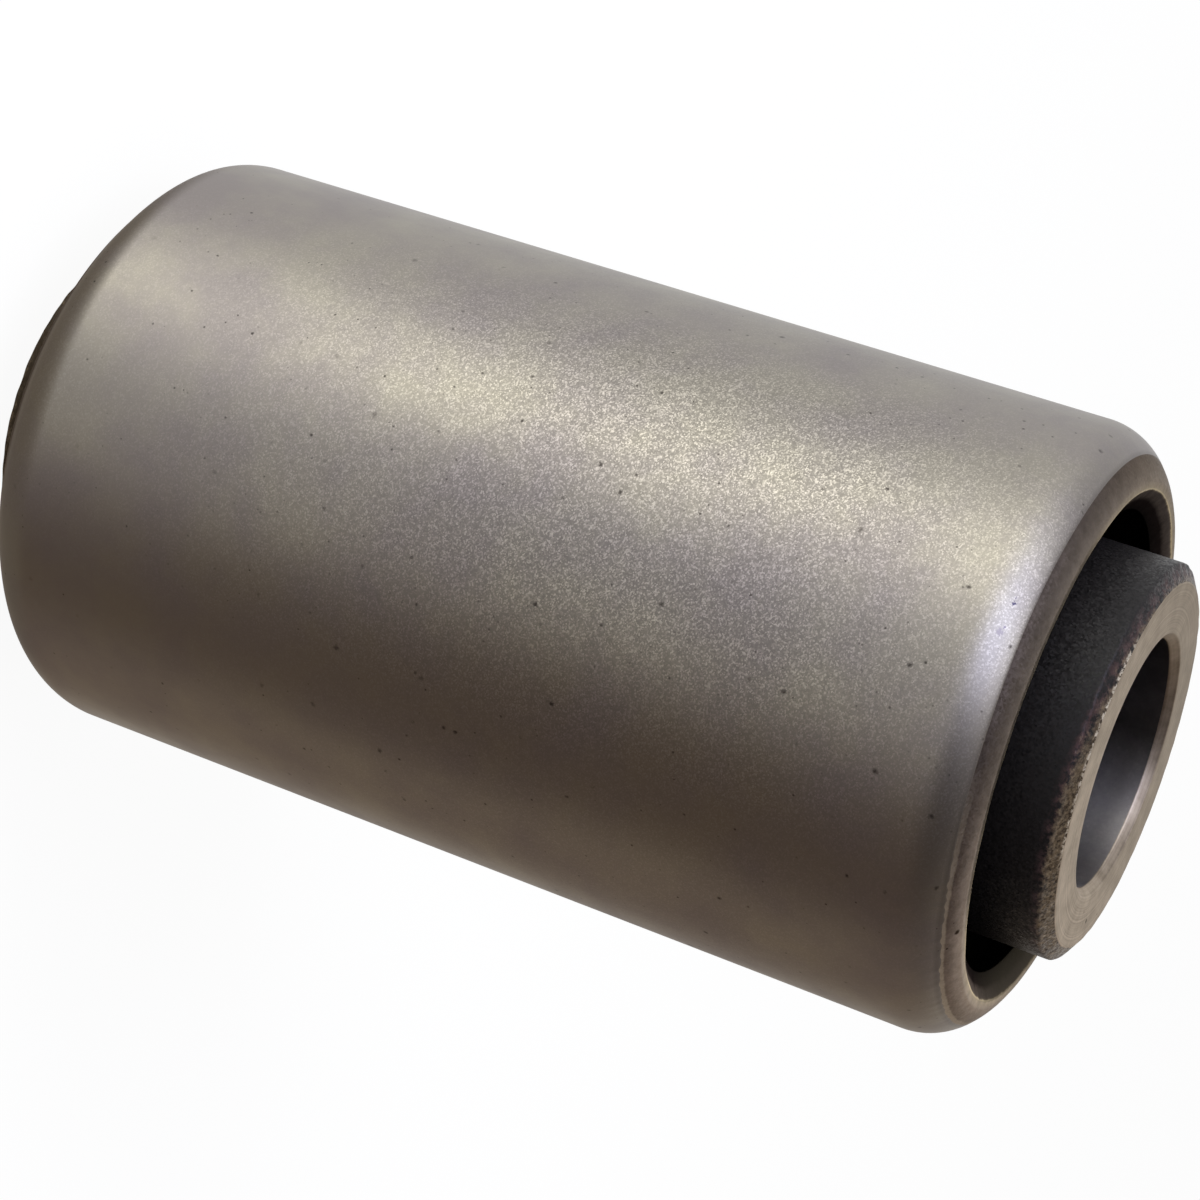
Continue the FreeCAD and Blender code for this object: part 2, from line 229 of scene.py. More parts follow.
def steel(name, dark, light, roughness, spread, patch, grain, tilt, contrast, blasted=False, painted_shade=None):
    """Bare steel. Soft patches of the patch size, in millimetres, go from the dark to the light colour and
    vary the roughness by spread. A grain of small facets, each as wide as grain, varies the shade by
    contrast, more of them darker and a few much lighter, and leans every facet its own way by tilt.
    painted_shade is an azimuth, and the painted shade away from it and towards it, and such steel is also
    painted darker near the mouths. Where the steel is blasted, it is painted lighter towards the lower
    end, its grain fades towards the lower end and the top, the grain and its light flecks are strongest on
    the side where the highlight falls as a painted sparkle, painted shade darkens it just before the die's
    crease, pits of three spacings are scattered at random, and a few marks have places of their own."""
    made, tree, place, shader = material(name)
    shader.inputs["Metallic"].default_value = 1.0
    patches = node(tree, "TexNoise", {
        "Vector": place, "Scale": every(patch), "Detail": 4.0, "Roughness": 0.6})
    mottle = node(tree, "TexNoise", {
        "Vector": place, "Scale": every(6.0 * grain), "Detail": 3.0, "Roughness": 0.75})
    facets = node(tree, "TexVoronoi", {"Vector": place, "Scale": every(grain)})
    chosen = node(tree, "SeparateColor", {0: facets.outputs["Color"]})
    share = node(tree, "MapRange", {"Value": patches.outputs["Fac"], "From Min": 0.36, "From Max": 0.64})
    hue = node(tree, "Mix", {0: share.outputs[0], 6: colour(dark), 7: colour(light)}, data_type="RGBA")
    blotch = node(tree, "MapRange", {
        "Value": mottle.outputs["Fac"], "From Min": 0.35, "From Max": 0.65, "To Min": -0.2,
        "To Max": 0.2}).outputs[0]
    cubed = node(tree, "Math", {0: chosen.outputs[0], 1: 3.0}, operation="POWER").outputs[0]
    fleck = node(tree, "Math", {0: cubed, 1: 2.6, 2: -0.65}, operation="MULTIPLY_ADD").outputs[0]
    tone = node(tree, "Math", {0: blotch, 1: fleck}, operation="ADD").outputs[0]
    rough = node(tree, "MapRange", {
        "Value": patches.outputs["Fac"], "From Min": 0.35, "From Max": 0.65,
        "To Min": roughness + spread, "To Max": roughness - spread}).outputs[0]
    flecked, leaning, painted_light_to_lower_end = contrast, tilt, 1.0
    if blasted:
        split = node(tree, "SeparateXYZ", {0: place})
        # Painted light: the steel is painted lighter towards the lower end and a little darker towards the
        # top.
        painted_light_to_lower_end = node(tree, "MapRange", {
            "Value": split.outputs[2], "From Min": -30.0 * MM, "From Max": 4.0 * MM, "To Min": 1.09,
            "To Max": 0.98}).outputs[0]
        along = node(tree, "MapRange", {
            "Value": split.outputs[2], "From Min": -24.0 * MM, "From Max": 4.0 * MM, "To Min": 0.2,
            "To Max": 1.0})
        shouldered = node(tree, "MapRange", {
            "Value": split.outputs[2], "From Min": 20.0 * MM, "From Max": 30.0 * MM, "To Min": 1.0,
            "To Max": 0.5})
        lengthwise = node(tree, "Math", {0: along.outputs[0], 1: shouldered.outputs[0]}, operation="MULTIPLY")
        # Painted sparkle: the grain and its light flecks are strongest on the side where the highlight falls.
        painted_sparkle_side = to_side(tree, place, PAINTED_SPARKLE_SIDE, 14.0, 19.2, 0.2, 1.0)
        grain_and_painted_sparkle = node(tree, "Math", {0: lengthwise.outputs[0], 1: painted_sparkle_side}, operation="MULTIPLY").outputs[0]
        rough = node(tree, "Math", {0: grain_and_painted_sparkle, 1: -0.04, 2: rough}, operation="MULTIPLY_ADD").outputs[0]
        flecked = node(tree, "Math", {0: grain_and_painted_sparkle, 1: contrast}, operation="MULTIPLY").outputs[0]
        leaning = node(tree, "Math", {0: grain_and_painted_sparkle, 1: tilt}, operation="MULTIPLY").outputs[0]
    shade = node(tree, "Math", {0: tone, 1: flecked, 2: painted_light_to_lower_end}, operation="MULTIPLY_ADD")
    shown = node(tree, "VectorMath", {0: hue.outputs[2], "Scale": shade.outputs[0]},
                 operation="SCALE").outputs[0]
    if painted_shade:
        # Painted shade: darker away from one side, and darker near the mouths.
        side, away_from_it, towards_it = painted_shade
        painted_side_shade = to_side(tree, place, side, 0.0, 6.5, away_from_it, towards_it)
        mouth = node(tree, "MapRange", {
            "Value": from_middle(tree, place), "From Min": 35.6 * MM, "From Max": 37.4 * MM, "To Min": 1.0,
            "To Max": 0.7})
        painted_bore_shade = node(tree, "Math", {0: painted_side_shade, 1: mouth.outputs[0]}, operation="MULTIPLY").outputs[0]
        shown = node(tree, "VectorMath", {0: shown, "Scale": painted_bore_shade}, operation="SCALE").outputs[0]
    if blasted:
        # Painted shade: the shoulder is darkened just before the crease where the die's band starts.
        pressed = node(tree, "MapRange", {
            "Value": from_axis(tree, place), "From Min": 18.86 * MM, "From Max": 18.68 * MM, "To Max": 0.4})
        shown = node(tree, "Mix", {0: pressed.outputs[0], 6: shown, 7: colour("#5d5653")},
                     data_type="RGBA").outputs[2]
        rusty = to_side(tree, place, 318.0, 9.0, 17.0, 0.0, 0.9)
        peppered = to_side(tree, place, 225.0, 4.0, 16.0, 0.0, 1.0)
        for apart, largest, gate in (
                (1.3, 0.16, along.outputs[0]), (0.8, 0.12, rusty), (0.7, 0.15, peppered)):
            cells = node(tree, "TexVoronoi", {"Vector": place, "Scale": every(apart)})
            chance = node(tree, "SeparateColor", {0: cells.outputs["Color"]})
            size = node(tree, "MapRange", {
                "Value": chance.outputs[0], "From Min": 0.35, "To Min": 0.001, "To Max": largest})
            away = node(tree, "Math", {0: cells.outputs["Distance"], 1: size.outputs[0]}, operation="DIVIDE")
            frayed = node(tree, "Math", {0: mottle.outputs["Fac"], 1: 2.6, 2: away.outputs[0]},
                          operation="MULTIPLY_ADD")
            pit = node(tree, "MapRange", {
                "Value": frayed.outputs[0], "From Min": 1.6, "From Max": 2.4, "To Min": 0.85, "To Max": 0.0})
            pitted = node(tree, "Math", {0: pit.outputs[0], 1: gate}, operation="MULTIPLY").outputs[0]
            shown = node(tree, "Mix", {0: pitted, 6: shown, 7: colour("#2e2927")},
                         data_type="RGBA").outputs[2]
        for azimuth, radius, level, across, tint in SLEEVE_MARKS:
            shown = node(tree, "Mix", {
                0: spot(tree, place, azimuth, radius, level, across, chosen.outputs[0]), 6: shown,
                7: colour(tint)}, data_type="RGBA").outputs[2]
    tree.links.new(shown, shader.inputs["Base Color"])
    tree.links.new(rough, shader.inputs["Roughness"])
    tree.links.new(faceted(tree, facets.outputs["Color"], leaning), shader.inputs["Normal"])
    return made


# Marks on the outer sleeve, as azimuth, radius, height, size and colour: two spots of marking ink and a nick
SLEEVE_MARKS = [
    (250.6, 19.42, 32.48, 0.14, "#3b374c"), (249.5, 19.45, 32.43, 0.07, "#5d5960"),
    (256.1, 19.48, 32.39, 0.2, "#7d7776"), (255.0, 19.4, 32.5, 0.1, "#726c72"),
    (349.4, 20.0, 16.3, 0.3, "#2e2926")]
# The azimuth where the highlight falls, round which the grain and its light flecks are strongest: a painted
# sparkle
PAINTED_SPARKLE_SIDE = 256.0

# Mild steel tube, drawn and then blasted with fine grit: a dull grey sparkle, a little creamier in some
# patches, with small pits
blasted_steel = steel(
    "grit_blasted_drawn_steel", "#8a8482", "#948f86", roughness=0.41, spread=0.03, patch=8.0, grain=0.09,
    tilt=0.06, contrast=0.39, blasted=True)
# The inside of a drawn tube: a grey satin with soft clouds, with painted shade that makes it darker towards
# one side and near the mouths
bore_steel = steel(
    "drawn_bore_steel", "#a39fa0", "#c8c2c2", roughness=0.37, spread=0.04, patch=2.5, grain=0.15,
    tilt=0.0, contrast=0.04, painted_shade=(18.0, 0.18, 1.05))


# Dark pinholes in the end face, as azimuth, radius and size
FACE_MARKS = [(17.0, 10.48, 0.17), (9.0, 9.6, 0.07), (31.0, 11.1, 0.08)]


def faced_steel():
    """Steel that a cutting tool faced: rings of a tenth of a millimetre round the axis, a noise of the
    radius alone, under soft tan patches. It is painted lighter towards one side and darker towards the
    other."""
    made, tree, place, shader = material("faced_steel_end")
    shader.inputs["Metallic"].default_value = 1.0
    shader.inputs["Specular Tint"].default_value = colour("#eae4da")
    radius = from_axis(tree, place)
    rings = node(tree, "TexNoise", {"W": radius, "Scale": every(0.14), "Detail": 2.0}, noise_dimensions="1D")
    patches = node(tree, "TexNoise", {"Vector": place, "Scale": every(1.6), "Detail": 5.0, "Roughness": 0.7})
    tone = node(tree, "Mix", {0: 0.4, 2: patches.outputs["Fac"], 3: rings.outputs["Fac"]})
    share = node(tree, "MapRange", {"Value": tone.outputs[0], "From Min": 0.36, "From Max": 0.64})
    tint = node(tree, "Mix", {0: share.outputs[0], 6: colour("#7d7266"), 7: colour("#aea294")},
                data_type="RGBA").outputs[2]
    # Painted light and shade: lighter towards one side of the face, darker towards the other.
    lighter = to_side(tree, place, 325.0, -12.0, 12.0, 0.84, 1.28)
    tint = node(tree, "VectorMath", {0: tint, "Scale": lighter}, operation="SCALE").outputs[0]
    for azimuth, level, across in FACE_MARKS:
        tint = node(tree, "Mix", {
            0: spot(tree, place, azimuth, level, 38.1, across, patches.outputs["Fac"]), 6: tint,
            7: colour("#2c2520")}, data_type="RGBA").outputs[2]
    rough = node(tree, "MapRange", {
        "Value": tone.outputs[0], "From Min": 0.3, "From Max": 0.7, "To Min": 0.38, "To Max": 0.52})
    lift = node(tree, "Bump", {"Height": tone.outputs[0], "Strength": 1.0, "Distance": 0.012 * MM})
    tree.links.new(tint, shader.inputs["Base Color"])
    tree.links.new(rough.outputs[0], shader.inputs["Roughness"])
    tree.links.new(lift.outputs[0], shader.inputs["Normal"])
    return made


# Dark specks on the pressed band, as azimuth, radius, height and size
BAND_MARKS = [(315.0, 17.63, 34.14, 0.2), (318.5, 18.15, 33.8, 0.1), (312.0, 17.89, 33.97, 0.08)]


def closed_end():
    """The sleeve's end where the closing die worked it, and the cut end inside. The finish follows the
    radius: the band that the die slid on has painted shade that makes it darkest at its outer edge, the lip
    is tan with a thin rim of bare steel inside that is painted bright as a highlight, and a dark film of
    bonding agent covers the cut end, with painted shade that turns it black at its inner corner. A noise
    makes the radius wander a little, and mottles the steel. One side is painted lighter, a painted
    highlight runs along the band's outer edge on the low side, and on another side the rim and the film
    are painted darker as shade."""
    made, tree, place, shader = material("die_pressed_end")
    grain = node(tree, "TexNoise", {"Vector": place, "Scale": every(0.9), "Detail": 4.0, "Roughness": 0.7})
    facets = node(tree, "TexVoronoi", {"Vector": place, "Scale": every(0.14)})
    chosen = node(tree, "SeparateColor", {0: facets.outputs["Color"]})
    drift = node(tree, "MapRange", {"Value": grain.outputs["Fac"], "To Min": -0.09 * MM, "To Max": 0.09 * MM})
    spread = node(tree, "Math", {0: from_axis(tree, place), 1: drift.outputs[0]}, operation="ADD")
    share = node(tree, "MapRange", {"Value": spread.outputs[0], "From Min": 15.0 * MM, "From Max": 18.7 * MM})
    # Partly painted: painted shade darkens the band's outer edge, the bare rim is painted bright as a
    # highlight, and painted shade turns the film black at the cut end's inner corner.
    worked = node(tree, "ValToRGB", {"Fac": share.outputs[0]}, stops=[
        (0.03, colour("#110e0c")), (0.22, colour("#16110f")), (0.3, colour("#38312b")),
        (0.41, colour("#3f3832")), (0.432, colour("#5d5345")), (0.448, colour("#bdb092")),
        (0.475, colour("#8e8474")), (0.6, colour("#7c736b")), (0.7, colour("#6f6761")),
        (0.86, colour("#5e5651")), (1.0, colour("#534b48"))])
    shade = node(tree, "MapRange", {
        "Value": grain.outputs["Fac"], "From Min": 0.35, "From Max": 0.65, "To Min": 0.82, "To Max": 1.18})
    # Painted light: one side of the end is painted up to twice as light.
    painted_band_light = to_side(tree, place, 338.0, 9.0, 17.5, 1.0, 2.0)
    gain = node(tree, "Math", {0: shade.outputs[0], 1: painted_band_light}, operation="MULTIPLY")
    tint = node(tree, "VectorMath", {0: worked.outputs[0], "Scale": gain.outputs[0]},
                operation="SCALE").outputs[0]
    # Painted shade: on the far side the bright rim and the film inside it are painted dark.
    rim = node(tree, "MapRange", {
        "Value": share.outputs[0], "From Min": 0.46, "From Max": 0.49, "To Min": 1.0, "To Max": 0.0})
    rim_shade_side = to_side(tree, place, 35.0, 11.0, 15.0, 0.0, 0.8)
    painted_rim_shade = node(tree, "Math", {0: rim.outputs[0], 1: rim_shade_side}, operation="MULTIPLY").outputs[0]
    tint = node(tree, "Mix", {0: painted_rim_shade, 6: tint, 7: colour("#3d382d")}, data_type="RGBA").outputs[2]
    # Painted highlight: a light strip along the band's outer edge on the low side.
    band_highlight_line = node(tree, "MapRange", {
        "Value": share.outputs[0], "From Min": 0.885, "From Max": 0.91}).outputs[0]
    low_side = to_side(tree, place, 325.0, 13.0, 17.0, 0.0, 0.75)
    painted_band_highlight = node(tree, "Math", {0: band_highlight_line, 1: low_side}, operation="MULTIPLY")
    tint = node(tree, "Mix", {0: painted_band_highlight.outputs[0], 6: tint, 7: colour("#b9b0a2")}, data_type="RGBA").outputs[2]
    for azimuth, radius, level, across in BAND_MARKS:
        tint = node(tree, "Mix", {
            0: spot(tree, place, azimuth, radius, level, across, grain.outputs["Fac"]), 6: tint,
            7: colour("#2a211e")}, data_type="RGBA").outputs[2]
    bare = node(tree, "MapRange", {"Value": share.outputs[0], "From Min": 0.425, "From Max": 0.445})
    rough = node(tree, "MapRange", {"Value": chosen.outputs[0], "To Min": 0.44, "To Max": 0.36})
    shader.inputs["Specular IOR Level"].default_value = 0.0
    shader.inputs["Specular Tint"].default_value = colour("#d8d0c6")
    tree.links.new(tint, shader.inputs["Base Color"])
    tree.links.new(bare.outputs[0], shader.inputs["Metallic"])
    tree.links.new(rough.outputs[0], shader.inputs["Roughness"])
    tree.links.new(faceted(tree, facets.outputs["Color"], 0.1), shader.inputs["Normal"])
    return made


def coated_tube():
    """The black bonding coat outside the inner sleeve, and the turned chamfer that it ends on. The coat
    breaks up into specks over the chamfer. At the upper end it reaches the face round one side, with a few
    bright flecks of bare steel beside it where it is chipped, painted brighter as a glint on one side, and
    at the lower end it is thin and brown. Elsewhere it is a speckled satin black, and the steel between
    the specks is mottled brown."""
    made, tree, place, shader = material("black_bonding_coat_on_steel")
    shader.inputs["Specular IOR Level"].default_value = 0.18
    blots = node(tree, "TexNoise", {"Vector": place, "Scale": every(0.9), "Detail": 5.0, "Roughness": 0.8})
    flakes = node(tree, "TexNoise", {"Vector": place, "Scale": every(0.3), "Detail": 3.0, "Roughness": 0.7})
    facets = node(tree, "TexVoronoi", {"Vector": place, "Scale": every(0.13)})
    chosen = node(tree, "SeparateColor", {0: facets.outputs["Color"]})
    split = node(tree, "SeparateXYZ", {0: place})
    upper = node(tree, "Math", {0: split.outputs[2], 1: 0.0}, operation="GREATER_THAN").outputs[0]
    lap = to_side(tree, place, 215.0, 5.0, 12.5, 0.0, -0.4 * MM)
    lapped = node(tree, "Math", {0: lap, 1: upper}, operation="MULTIPLY")
    wiped = to_side(tree, place, 318.0, 5.0, 12.0, 0.0, 0.28 * MM)
    moved = node(tree, "Math", {0: lapped.outputs[0], 1: wiped}, operation="ADD")
    height = node(tree, "Math", {0: from_middle(tree, place), 1: moved.outputs[0]}, operation="ADD")
    drift = node(tree, "MapRange", {"Value": blots.outputs["Fac"], "To Min": -0.8 * MM, "To Max": 0.8 * MM})
    edge = node(tree, "Math", {0: height.outputs[0], 1: drift.outputs[0]}, operation="ADD")
    bare = node(tree, "MapRange", {
        "Value": edge.outputs[0], "From Min": 37.55 * MM, "From Max": 38.0 * MM}).outputs[0]
    black = node(tree, "Mix", {0: chosen.outputs[0], 6: colour("#0a090a"), 7: colour("#1a1819")},
                 data_type="RGBA").outputs[2]
    burnt = node(tree, "MapRange", {"Value": height.outputs[0], "From Min": 37.0 * MM, "From Max": 37.5 * MM})
    stain = node(tree, "MapRange", {"Value": blots.outputs["Fac"], "From Min": 0.44, "From Max": 0.58})
    stained = node(tree, "Math", {0: burnt.outputs[0], 1: stain.outputs[0]}, operation="MULTIPLY")
    black = node(tree, "Mix", {0: stained.outputs[0], 6: black, 7: colour("#38292a")},
                 data_type="RGBA").outputs[2]
    thin = node(tree, "MapRange", {"Value": split.outputs[2], "From Min": -33.0 * MM, "From Max": -35.5 * MM})
    black = node(tree, "Mix", {0: thin.outputs[0], 6: black, 7: colour("#33291c")}, data_type="RGBA")
    mottle = node(tree, "MapRange", {"Value": flakes.outputs["Fac"], "From Min": 0.35, "From Max": 0.65})
    brown = node(tree, "Mix", {0: mottle.outputs[0], 6: colour("#3a312a"), 7: colour("#8a7b66")},
                 data_type="RGBA")
    tint = node(tree, "Mix", {0: bare, 6: black.outputs[2], 7: brown.outputs[2]}, data_type="RGBA")
    # Bare steel chipped at the face's edge, partly real and partly a painted glint: bright only on one side.
    chipped = node(tree, "MapRange", {
        "Value": split.outputs[1], "From Min": -9.4 * MM, "From Max": -10.6 * MM})
    rim = node(tree, "MapRange", {"Value": split.outputs[2], "From Min": 37.93 * MM, "From Max": 38.02 * MM})
    lost = node(tree, "MapRange", {"Value": flakes.outputs["Fac"], "From Min": 0.49, "From Max": 0.56})
    there = node(tree, "Math", {0: chipped.outputs[0], 1: rim.outputs[0]}, operation="MULTIPLY")
    chips_and_glint = node(tree, "Math", {0: there.outputs[0], 1: lost.outputs[0]}, operation="MULTIPLY").outputs[0]
    tint = node(tree, "Mix", {0: chips_and_glint, 6: tint.outputs[2], 7: colour("#cfc6b8")}, data_type="RGBA")
    metal = node(tree, "Math", {0: bare, 1: chips_and_glint}, operation="MAXIMUM")
    rough = node(tree, "MapRange", {"Value": chosen.outputs[1], "To Min": 0.52, "To Max": 0.36})
    tree.links.new(tint.outputs[2], shader.inputs["Base Color"])
    tree.links.new(metal.outputs[0], shader.inputs["Metallic"])
    tree.links.new(rough.outputs[0], shader.inputs["Roughness"])
    tree.links.new(faceted(tree, facets.outputs["Color"], 0.24), shader.inputs["Normal"])
    return made


def matt_black(name, dark, light, roughness, grain, depth):
    """A matt black organic surface: blots and a grain between two near blacks, and the grain lifts it."""
    made, tree, place, shader = material(name)
    shader.inputs["Specular IOR Level"].default_value = 0.1
    blots = node(tree, "TexNoise", {"Vector": place, "Scale": every(3.0), "Detail": 4.0, "Roughness": 0.6})
    fine = node(tree, "TexNoise", {"Vector": place, "Scale": every(grain), "Detail": 2.0, "Roughness": 0.6})
    tone = node(tree, "Mix", {0: 0.5, 2: blots.outputs["Fac"], 3: fine.outputs["Fac"]})
    share = node(tree, "MapRange", {"Value": tone.outputs[0], "From Min": 0.36, "From Max": 0.64})
    tint = node(tree, "Mix", {0: share.outputs[0], 6: colour(dark), 7: colour(light)}, data_type="RGBA")
    rough = node(tree, "MapRange", {
        "Value": tone.outputs[0], "From Min": 0.3, "From Max": 0.7,
        "To Min": roughness - 0.06, "To Max": roughness + 0.06})
    lift = node(tree, "Bump", {"Height": fine.outputs["Fac"], "Strength": 1.0, "Distance": depth * MM})
    tree.links.new(tint.outputs[2], shader.inputs["Base Color"])
    tree.links.new(rough.outputs[0], shader.inputs["Roughness"])
    tree.links.new(lift.outputs[0], shader.inputs["Normal"])
    return made


faced_end = faced_steel()
pressed_end = closed_end()
bonding_coat = coated_tube()
rubber = matt_black(
    "moulded_natural_rubber", "#141312", "#1f1d1c", roughness=0.62, grain=0.3, depth=0.01)
bonding_film = matt_black(
    "black_bonding_film", "#12100e", "#1e1a17", roughness=0.5, grain=0.25, depth=0.01)


# ---------------------------------------------------------------------------------------------------------
# Outer sleeve
# ---------------------------------------------------------------------------------------------------------

OUTER_RADIUS = 20.0
INNER_WALL_RADIUS = 18.0
# The centre, the two radii and the turn of the arcs that the curled wall follows outside and inside
SHOULDER = (15.8, 30.378)
SHOULDER_RADIUS = 4.2
CURL_RADIUS = 2.2
SHOULDER_TURN = 47.0
# The corner where the die's band starts, the band's width, the flat lip, and the ends of the tube's cut end
DIE_CORNER = (18.664, 33.449)
DIE_BAND_WIDTH = 1.7
LIP_HEIGHT = 34.4
LIP_OUTER_RADIUS = 17.255
LIP_INNER_RADIUS = 16.655
CUT_CORNER = (15.07, 33.488)
CURL_START = (17.3, 31.987)
# The side, in degrees, on which the die went lower at the lower end
LEAN_SIDE = 205.0


def sleeve_end(seed, chipped, lean):
    """The turned-in end of the outer sleeve, from the top of its straight wall to the top of its inner
    wall: the shoulder's arc, the cone that the die pressed, the flat lip, the cut end and the inner arc.
    The die's edge is smooth, and chipped and nearer to the lip round the angle chipped. The die went lower
    by lean, in millimetres, on one side, so there the shoulder is rounder and the lip lower."""
    low = lean * near(LEAN_SIDE, 50.0)
    die_corner = point(DIE_CORNER[0] - 0.5 * low, DIE_CORNER[1] - low)
    lip_out = point(LIP_OUTER_RADIUS, LIP_HEIGHT - low)
    ragged = wander(seed, 2, 9, 0.02) + near(chipped, 24.0) * (0.15 + wander(seed + 5, 20, 170, 0.05))
    die_edge = die_corner + ragged * (lip_out - die_corner) / DIE_BAND_WIDTH
    lip_in = point(LIP_INNER_RADIUS + wander(seed + 1, 2, 24, 0.025), LIP_HEIGHT - low)
    cut_in = point(CUT_CORNER[0], CUT_CORNER[1] - low)
    inside = point(*CURL_START)
    shoulder = arc(SHOULDER, SHOULDER_RADIUS, 0.0, SHOULDER_TURN, 16)
    share = np.linspace(0.0, 1.0, 16)[:, None, None]
    sunk, moved = die_corner - point(*DIE_CORNER), die_edge - die_corner
    shoulder = shoulder + share ** 2 * sunk + share ** 6 * moved
    corner = worn(shoulder[-1], die_edge, lip_out, 0.06, 4)
    lip_corner = worn(die_edge, lip_out, lip_in, 0.12, 4)
    return [
        (shoulder[1:], blasted_steel),
        (corner[:-1], blasted_steel),
        (np.concatenate([crowned(corner[-1], lip_corner[0], 0.07, 6), lip_corner[:-1]]), pressed_end),
        (np.concatenate([lip_corner[-1:], worn(lip_out, lip_in, cut_in, 0.05, 4), line(lip_in, cut_in, 5)[1:],
                         worn(lip_in, cut_in, inside, 0.12, 4)]), pressed_end),
        (np.concatenate([line(cut_in, inside, 4)[1:], arc(SHOULDER, CURL_RADIUS, SHOULDER_TURN, 0.0, 6)]),
         bonding_film),
    ]


def flipped(bands):
    """The same end for the bottom of the part: heights change sign and the rings run the other way. A
    band's finish belongs to the gap after each ring, so the finishes move on by one ring."""
    rings = np.concatenate([rings for rings, _ in bands])[::-1] * np.array([1.0, -1.0])[:, None]
    finishes = [finish for rings, finish in bands for _ in rings][::-1]
    finishes = finishes[1:] + finishes[-1:]
    return [(rings[i:i + 1], finishes[i]) for i in range(len(rings))]


def outer_sleeve():
    """The outer steel sleeve: a straight wall outside, the turned-in end, the inner wall, the other end."""
    top = sleeve_end(seed=11, chipped=322.0, lean=0.0)
    bottom = flipped(sleeve_end(seed=23, chipped=140.0, lean=0.3))
    straight = SHOULDER[1]
    outside = line(point(OUTER_RADIUS, -straight), point(OUTER_RADIUS, straight), 12)
    last = point(OUTER_RADIUS, straight)[None]
    inside = line(point(INNER_WALL_RADIUS, straight), point(INNER_WALL_RADIUS, -straight), 6)
    return turned("outer_sleeve_steel", [(outside, blasted_steel), (last, blasted_steel)]
                  + top + [(inside, bonding_film)] + bottom)


# ---------------------------------------------------------------------------------------------------------
# Rubber
# ---------------------------------------------------------------------------------------------------------

COAT_RADIUS = 12.9
RUBBER_HALF_LENGTH = 28.878
HOLLOW_DEPTH = 1.2


def rubber_element():
    """The rubber between the sleeves. Each end face is a hollow between its two bond edges: its depth below
    them is 1.2 mm times one minus the fourth power of the distance from the middle, as a share."""
    share = np.linspace(-1.0, 1.0, 25)[:, None]
    middle, half = (INNER_WALL_RADIUS + COAT_RADIUS) / 2, (INNER_WALL_RADIUS - COAT_RADIUS) / 2
    depth = HOLLOW_DEPTH * (1.0 - share ** 4)
    across, height = middle - share * half, RUBBER_HALF_LENGTH - depth
    top = np.stack([across * np.ones(TURNS), height * np.ones(TURNS)], axis=1)
    bottom = top[::-1] * np.array([1.0, -1.0])[:, None]
    return turned("rubber_element_moulded", [(top, rubber), (bottom, rubber)])


# ---------------------------------------------------------------------------------------------------------
# Inner sleeve
# ---------------------------------------------------------------------------------------------------------

HALF_LENGTH = 38.1
BORE_RADIUS = 8.1
BORE_CHAMFER = 0.5
# Half the length that is plain tube, between the two worked ends
PLAIN = 30.0


def tube_end(seed, chamfer):
    """The end of the inner sleeve, from its coated outside over the chamfer and the face into the bore.
    chamfer is the width and the depth of the chamfer."""
    below_foot = point(COAT_RADIUS, 36.0)
    foot = point(COAT_RADIUS, HALF_LENGTH - chamfer[1] + wander(seed, 3, 60, 0.02))
    face_out = point(COAT_RADIUS - chamfer[0] + wander(seed + 1, 3, 60, 0.02), HALF_LENGTH)
    face_in = point(BORE_RADIUS + BORE_CHAMFER, HALF_LENGTH)
    bore = point(BORE_RADIUS, HALF_LENGTH - BORE_CHAMFER)
    below = point(BORE_RADIUS, PLAIN)
    mouth = worn(face_in, bore, below, 0.08, 4)
    return [
        (np.concatenate([line(point(COAT_RADIUS, PLAIN), foot, 6), worn(below_foot, foot, face_out, 0.15, 5),
                         line(foot, face_out, 4)[1:]]), bonding_coat),
        (np.concatenate([worn(foot, face_out, face_in, 0.08, 5), line(face_out, face_in, 5)[1:],
                         worn(face_out, face_in, bore, 0.06, 4)]), faced_end),
        (np.concatenate([line(face_in, bore, 3)[1:], mouth[:-1]]), faced_end),
        (np.concatenate([mouth[-1:], line(bore, below, 5)[1:]]), bore_steel),
    ]


def inner_sleeve():
    """The inner steel sleeve: coated outside, one end, the bore, and the other end."""
    top = tube_end(seed=37, chamfer=(1.1, 0.65))
    bottom = flipped(tube_end(seed=51, chamfer=(0.76, 0.46)))
    outside = line(point(COAT_RADIUS, -PLAIN), point(COAT_RADIUS, PLAIN), 12)[1:]
    bore = line(point(BORE_RADIUS, PLAIN), point(BORE_RADIUS, -PLAIN), 16)[1:]
    return turned("inner_sleeve_steel", [(outside, bonding_coat)] + top + [(bore, bore_steel)] + bottom)


for piece, cad_node, slot in (
        (outer_sleeve(), "outer_sleeve", "outer_steel"),
        (rubber_element(), "rubber_element", "rubber"),
        (inner_sleeve(), "inner_sleeve", "inner_steel")):
    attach(piece, "root")
    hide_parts(cad_node)


# ---------------------------------------------------------------------------------------------------------
# Studio
# ---------------------------------------------------------------------------------------------------------

FLOOR = -HALF_LENGTH
# The floor's share of plain white, and the strength of the room's light on whatever isn't a reflection
FLOOR_WHITE = 0.93
ROOM_LIGHT = 0.6


def seen_white(tree):
    """Light Path's share for rays that should meet the plain white background: 1 for those that leave the
    camera, or that a gloss or a glass sends on."""
    path = node(tree, "LightPath")
    straight = node(tree, "Math", {0: path.outputs["Is Camera Ray"], 1: path.outputs["Is Glossy Ray"]},
                    operation="MAXIMUM")
    return node(tree, "Math", {0: straight.outputs[0], 1: path.outputs["Is Transmission Ray"]},
                operation="MAXIMUM").outputs[0]


